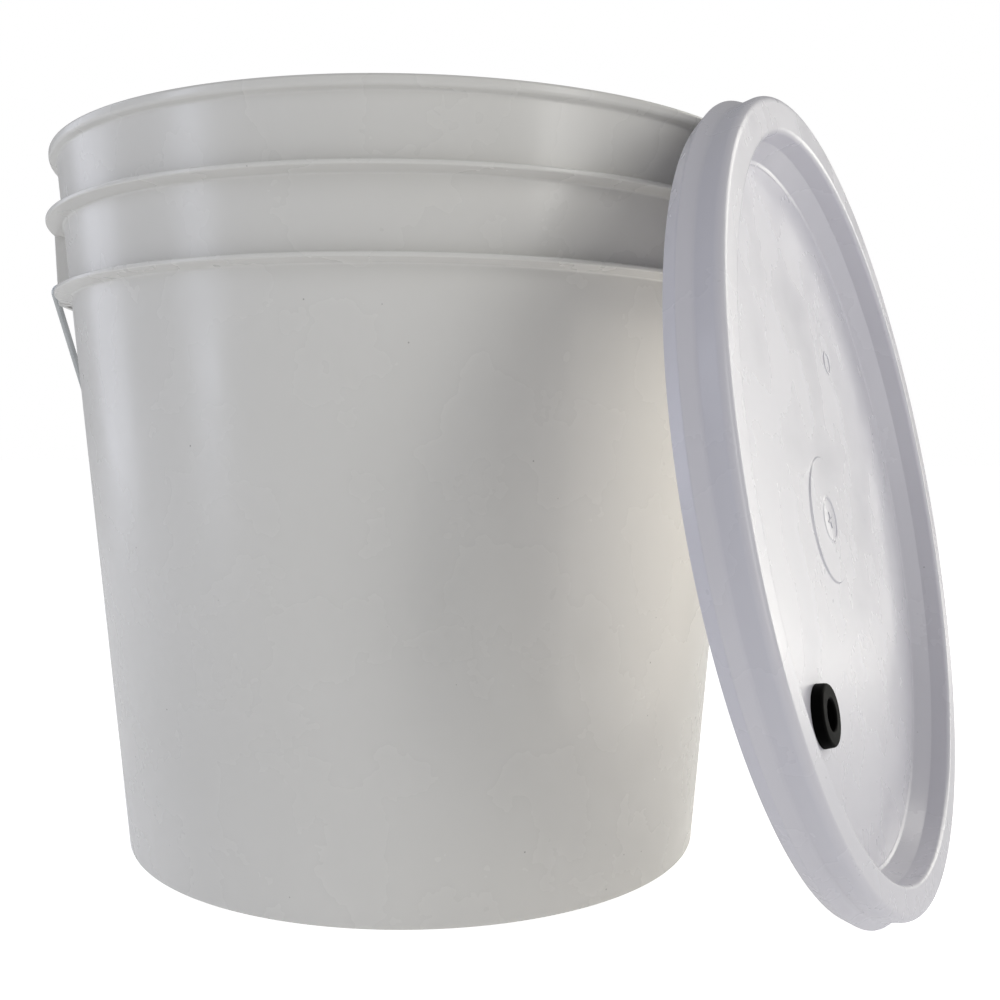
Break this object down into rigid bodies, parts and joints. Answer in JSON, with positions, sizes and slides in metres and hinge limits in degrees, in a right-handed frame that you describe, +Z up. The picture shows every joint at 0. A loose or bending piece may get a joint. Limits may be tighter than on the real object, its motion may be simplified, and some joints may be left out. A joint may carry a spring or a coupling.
{
  "type": "fermenting bucket",
  "caption": "Tapered plastic fermenting pail with a ribbed rim, wire bail and roller grip, and a push-on lid with an airlock grommet leaning against it.",
  "frame": {"origin": "centre of the bucket's foot ring, on the floor", "axes": "+Z up along the pail's axis; X through the two ears, the bail's pivot axis; the bail hangs at +Y; the lid leans at the front right, between +X and -Y"},
  "size_m": [0.3401, 0.3186, 0.2457],
  "materials": {
    "pail_hdpe": "natural translucent HDPE, soft sheen",
    "lid_hdpe": "white HDPE, soft sheen",
    "grip_plastic": "white polyethylene, satin",
    "plated_wire": "bright zinc-plated steel wire",
    "gasket_rubber": "off-white sealing ring, matt",
    "grommet_rubber": "black rubber, satin"
  },
  "bodies": {
    "bucket": {"bucket_body": "pail_hdpe"},
    "bail": {"bail_wire": "plated_wire"},
    "grip": {"bail_grip": "grip_plastic"},
    "lid": {"lid": "lid_hdpe", "lid_gasket": "gasket_rubber", "airlock_grommet": "grommet_rubber"}
  },
  "joints": [
    {"name": "bail_hinge", "type": "hinge", "parent": "bucket", "child": "bail", "pos_m": [0, 0, 0.2], "axis": [1, 0, 0], "range_deg": [0, 165]},
    {"name": "grip_roll", "type": "hinge", "parent": "bail", "child": "grip", "pos_m": [0, 0.12048, 0.07654], "axis": [1, 0, 0], "continuous": true},
    {"name": "lid_tip", "type": "hinge", "parent": "bucket", "child": "lid", "pos_m": [0.16075, -0.09892, 0.00491], "axis": [0.5424, 0.8401, 0], "range_deg": [0, 103.6]}
  ]
}
